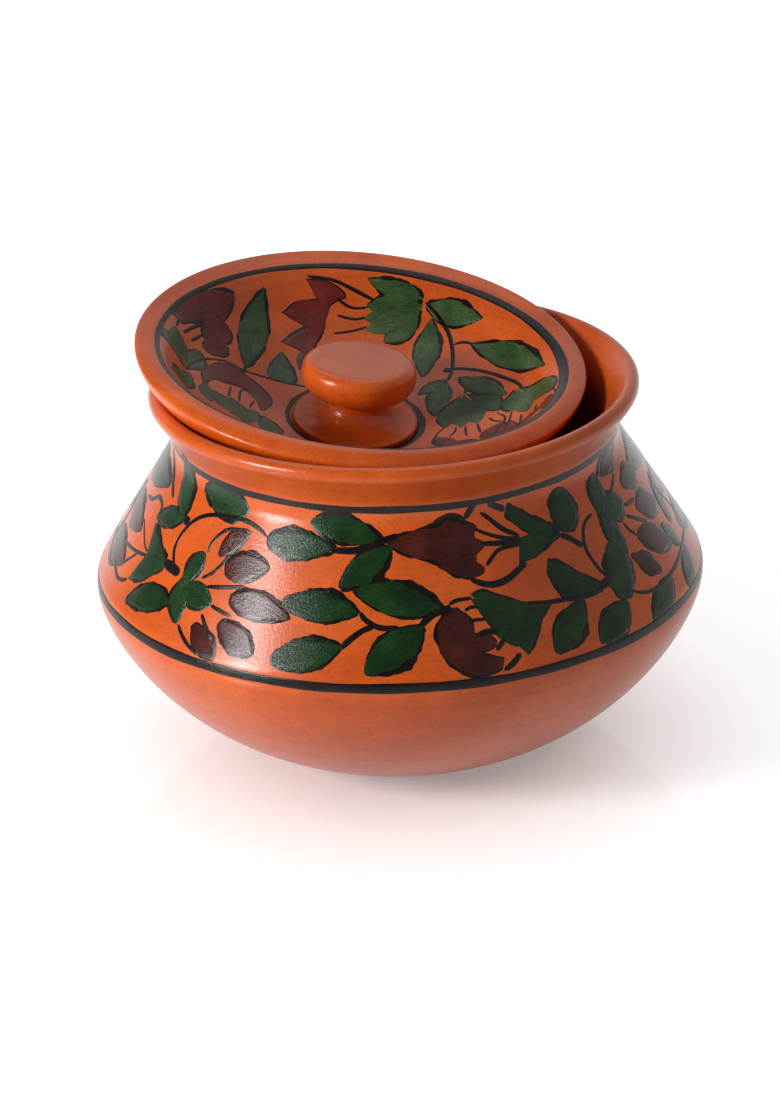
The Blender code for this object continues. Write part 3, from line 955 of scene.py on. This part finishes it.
def paint_shoulder(paints, turn):
    """Half of the vine round the pot, turned by some degrees."""
    def place(spot):
        return (spot[0] + turn) * CHART_DEGREE, spot[1]
    brush(paints, SHOULDER_LEAVES + SHOULDER_SEPALS, SHOULDER_PETALS, SHOULDER_GREEN_PATCHES,
          SHOULDER_MAROON_PATCHES, SHOULDER_LINES, SHOULDER_SLIM, SHOULDER_BOLD, place)


def paint_lid(paints):
    """The vine in the lid's hollow."""
    brush(paints, LID_LEAVES + LID_SEPALS, LID_PETALS, (), LID_PATCHES, LID_LINES, LID_SLIM, LID_BOLD,
          lambda spot: spot)


def feed(tree, made, inputs):
    """Give a node's inputs their values or links."""
    for key, value in inputs.items():
        if isinstance(value, bpy.types.NodeSocket):
            tree.links.new(value, made.inputs[key])
        else:
            made.inputs[key].default_value = value


def node(tree, kind, inputs=(), **settings):
    """A shader node with its settings and its inputs."""
    made = tree.nodes.new(kind)
    for key, value in settings.items():
        setattr(made, key, value)
    feed(tree, made, dict(inputs))
    return made


def ramp(tree, factor, stops):
    """A colour for each value of a factor."""
    made = node(tree, "ShaderNodeValToRGB", {"Fac": factor})
    ramp_stops = made.color_ramp.elements
    while len(ramp_stops) < len(stops):
        ramp_stops.new(0.5)
    for element, (place, color) in zip(ramp_stops, stops):
        element.position = place
        element.color = (*color, 1.0)
    return made.outputs["Color"]


def math_node(tree, operation, one, other):
    return node(tree, "ShaderNodeMath", {0: one, 1: other}, operation=operation).outputs[0]


def scaled(tree, value, low, high, start=0.0, end=1.0):
    """A value between start and end as one between low and high."""
    inputs = {"Value": value, "From Min": start, "From Max": end, "To Min": low, "To Max": high}
    return node(tree, "ShaderNodeMapRange", inputs).outputs["Result"]


def linear(value):
    """A colour value as it is seen, 0 to 255, as the shader's linear value."""
    value /= 255
    return value / 12.92 if value <= 0.04045 else ((value + 0.055) / 1.055) ** 2.4


def shades(colors, places):
    """A ramp's stops: colours as they are seen, each at its place."""
    return [(place, tuple(linear(value) for value in color)) for place, color in zip(places, colors)]


def gray(value):
    return value, value, value


def new_material(name):
    material = bpy.data.materials.new(name)
    material.use_nodes = True
    tree = material.node_tree
    return material, tree, tree.nodes["Principled BSDF"]


def noise(tree, place, scale, detail, rough):
    inputs = {"Vector": place, "Scale": scale, "Detail": detail, "Roughness": rough}
    return node(tree, "ShaderNodeTexNoise", inputs).outputs["Fac"]


def stretched(tree, place, scale):
    return node(tree, "ShaderNodeMapping", {"Vector": place, "Scale": scale}).outputs["Vector"]


def bump(tree, inputs):
    return node(tree, "ShaderNodeBump", inputs).outputs["Normal"]


def clay_material(name, colors):
    """Varnished terracotta: cloudy and mottled colour, fine specks, and faint rings left by turning."""
    material, tree, shader = new_material(name)
    place = node(tree, "ShaderNodeTexCoord").outputs["Object"]
    clouds = noise(tree, place, scale=16.0, detail=5.0, rough=0.6)
    grain = noise(tree, place, scale=900.0, detail=3.0, rough=0.6)
    turning = noise(tree, stretched(tree, place, RING_STRETCH), scale=1.0, detail=3.0, rough=0.5)
    patches = noise(tree, place, scale=130.0, detail=4.0, rough=0.65)
    gloss = noise(tree, place, scale=60.0, detail=4.0, rough=0.55)
    layers = ((grain, SPECKS, SPECK_SHARE), (turning, RINGS, RING_SHARE), (patches, MOTTLE, MOTTLE_SHARE))
    color = ramp(tree, clouds, shades(colors, CLAY_PLACES))
    for pattern, stops, share in layers:
        mixed = node(tree, "ShaderNodeMix", {0: share, 6: color, 7: ramp(tree, pattern, stops)},
                     data_type="RGBA", blend_type="MULTIPLY")
        color = mixed.outputs[2]
    feed(tree, shader, {"Base Color": color, "Roughness": scaled(tree, gloss, *CLAY_ROUGHNESS)})
    lines = bump(tree, {"Height": turning, "Strength": 0.10, "Distance": 0.0004})
    fine = bump(tree, {"Height": grain, "Strength": 0.45, "Distance": 0.0002, "Normal": lines})
    varnish(tree, shader, fine, CLAY_COAT_ROUGHNESS, CLAY_SHEEN)
    return material


def varnish(tree, shader, relief, roughness, sheen):
    """A thin clear coat over everything, that keeps a little of the grain below it."""
    feed(tree, shader, {"Normal": relief, "Coat Normal": relief, "Specular IOR Level": sheen,
                        "Coat Weight": COAT_WEIGHT, "Coat IOR": COAT_IOR, "Coat Roughness": roughness})


def paint_material(name, colors, roughness, grain):
    """Brushed paint under the varnish: streaks along the stroke, in its colour and its relief."""
    material, tree, shader = new_material(name)
    chart = node(tree, "ShaderNodeUVMap", uv_map="brush").outputs["UV"]
    place = node(tree, "ShaderNodeTexCoord").outputs["Object"]
    streak = noise(tree, stretched(tree, chart, STREAK_STRETCH), scale=3.0, detail=4.0, rough=0.6)
    patches = noise(tree, place, scale=90.0, detail=3.0, rough=0.5)
    speck = noise(tree, place, scale=1400.0, detail=2.0, rough=0.6)
    mean = math_node(tree, "MULTIPLY", math_node(tree, "ADD", streak, patches), 0.5)
    gloss = scaled(tree, streak, roughness - PAINT_SMOOTHER, roughness + PAINT_ROUGHER)
    color = ramp(tree, mean, shades(colors, PAINT_PLACES))
    feed(tree, shader, {"Base Color": color, "Roughness": gloss})
    relief = bump(tree, {"Height": streak, "Strength": 0.35, "Distance": 0.0003})
    fine = bump(tree, {"Height": speck, "Strength": grain, "Distance": 0.0003, "Normal": relief})
    varnish(tree, shader, fine, PAINT_COAT_ROUGHNESS, PAINT_SHEEN)
    return material


def seen_directly(tree, mirror):
    """1 for what the camera sees, some share of that in a mirror, and 0 for light on the object."""
    path = node(tree, "ShaderNodeLightPath").outputs
    seen = math_node(tree, "MAXIMUM", path["Is Camera Ray"], path["Is Transmission Ray"])
    return math_node(tree, "MAXIMUM", seen, math_node(tree, "MULTIPLY", path["Is Glossy Ray"], mirror))


def floor_material():
    """A white glossy table that shows as plain white further away from the pot, and darker near it, where
    its weaker glow is painted shade.
    """
    material, tree, shader = new_material("white_table")
    place = node(tree, "ShaderNodeTexCoord").outputs["Object"]
    reach = node(tree, "ShaderNodeVectorMath", {0: place}, operation="LENGTH").outputs["Value"]
    # The glow is weaker near the pot: painted shade round it
    white = ramp(tree, reach, [(radius, gray(glow)) for radius, glow in TABLE_GLOW_WITH_PAINTED_SHADE])
    strength = math_node(tree, "MULTIPLY", white, seen_directly(tree, MIRRORED_GLOW))
    feed(tree, shader, {"Base Color": (*gray(TABLE_WHITE), 1.0), "Roughness": TABLE_ROUGHNESS,
                        "Specular IOR Level": TABLE_SHEEN, "Emission Color": (*gray(1.0), 1.0),
                        "Emission Strength": strength})
    return material


def make_table():
    corners = [(x * TABLE_REACH, y * TABLE_REACH, 0) for x, y in ((-1, -1), (1, -1), (1, 1), (-1, 1))]
    mesh = bpy.data.meshes.new("table")
    mesh.from_pydata(corners, [], [(0, 1, 2, 3)])
    mesh.materials.append(floor_material())
    return in_scene("table", mesh)


def make_world():
    """A dim room, lighter on the right, with a low white backdrop behind; the camera sees only white."""
    world = bpy.data.worlds.new("studio")
    bpy.context.scene.world = world
    world.use_nodes = True
    tree = world.node_tree
    direction = node(tree, "ShaderNodeTexCoord").outputs["Generated"]
    parts = node(tree, "ShaderNodeSeparateXYZ", {"Vector": direction}).outputs
    behind = scaled(tree, parts["Y"], 0.0, 1.0, *BACKDROP_SIDE)
    low = scaled(tree, parts["Z"], 0.0, 1.0, *BACKDROP_TOP)
    side = scaled(tree, parts["X"], ROOM_LIGHT, WINDOW_LIGHT, *WINDOW_SIDE)
    room = scaled(tree, math_node(tree, "MULTIPLY", behind, low), side, BACKDROP_LIGHT)
    strength = scaled(tree, seen_directly(tree, 0.0), room, 1.0)
    feed(tree, tree.nodes["Background"], {"Color": (*gray(1.0), 1.0), "Strength": strength})


def softbox(name, azimuth, elevation, distance, width, height, power):
    """An area lamp that faces the pot."""
    lamp = bpy.data.lights.new(name, "AREA")
    lamp.shape = "RECTANGLE"
    lamp.size = width
    lamp.size_y = height
    lamp.energy = power
    thing = in_scene(name, lamp)
    a = math.radians(azimuth)
    e = math.radians(elevation)
    away = Vector((math.cos(e) * math.cos(a), math.cos(e) * math.sin(a), math.sin(e)))
    thing.location = LAMP_TARGET + distance * away
    thing.rotation_euler = (LAMP_TARGET - thing.location).to_track_quat("-Z", "Y").to_euler()


def make_camera():
    """The photograph's viewpoint, from a little above, turned slightly about its own axis."""
    away = Vector((0.0, -math.cos(CAMERA_ELEVATION), math.sin(CAMERA_ELEVATION)))
    right = Vector((1.0, 0.0, 0.0))
    up = Vector((0.0, math.sin(CAMERA_ELEVATION), math.cos(CAMERA_ELEVATION)))
    turned_right = right * math.cos(CAMERA_ROLL) + up * math.sin(CAMERA_ROLL)
    turned_up = up * math.cos(CAMERA_ROLL) - right * math.sin(CAMERA_ROLL)
    data = bpy.data.cameras.new("camera")
    data.lens = CAMERA_LENS
    data.sensor_fit = "VERTICAL"
    data.sensor_height = CAMERA_SENSOR
    data.clip_end = CAMERA_REACH
    thing = in_scene("camera", data)
    place = Matrix((turned_right, turned_up, away)).transposed().to_4x4()
    place.translation = CAMERA_AIM + CAMERA_DISTANCE * away
    thing.matrix_world = place
    bpy.context.scene.camera = thing


clay = clay_material("terracotta", CLAY_COLORS)
pot_green = paint_material("leaf_green", POT_GREENS, roughness=0.38, grain=0.5)
pot_maroon = paint_material("petal_maroon", POT_MAROONS, roughness=0.40, grain=0.2)
# The lid's green is a lighter copy of the shoulder's green, with painted sheen in its colour
lid_green_with_painted_sheen = paint_material("lid_leaf_green_with_painted_sheen", LID_GREENS_WITH_PAINTED_SHEEN, roughness=0.38, grain=0.3)
lid_maroon = paint_material("lid_petal_maroon", LID_MAROONS, roughness=0.40, grain=0.22)
line_black = paint_material("line_black", LINE_BLACKS, roughness=0.40, grain=0.4)

pot_rows, pot_skin = pot_section()
dish_rows, dish_upper = dish_section()
pot = turned("pot_clay_body", pot_rows, POT_STEPS, clay, "pot", "pot")
dish = turned("lid_clay_dish", dish_rows, DISH_STEPS, clay, "lid", "lid_dish", in_lid)
knob = turned("lid_clay_knob", knob_section(), KNOB_STEPS, clay, "lid", "lid_knob", in_lid)

shoulder = Shoulder(pot_skin)
pot_paints = [Paint(shoulder) for label in PAINT_LABELS]
paint_shoulder(pot_paints, 0.0)
paint_shoulder(pot_paints, 180.0)
for height, width, sway in POT_BANDS:
    band(pot_paints[LINES], shoulder.at_height(height), width, sway)

hollow = Hollow(dish_upper)
lid_paints = [Paint(hollow) for label in PAINT_LABELS]
paint_lid(lid_paints)
for radius, width in LID_RINGS:
    ring(lid_paints[LINES], radius, width)

for paint, label, material in zip(pot_paints, PAINT_LABELS, (pot_green, pot_maroon, line_black)):
    paint.finish("pot_" + label, material, "pot")
for paint, label, material in zip(lid_paints, PAINT_LABELS, (lid_green_with_painted_sheen, lid_maroon, line_black)):
    paint.finish("lid_" + label, material, "lid")

table = make_table()
make_world()
for name, settings in LAMPS.items():
    softbox(name, *settings)
make_camera()
bpy.context.scene.view_settings.view_transform = "Standard"
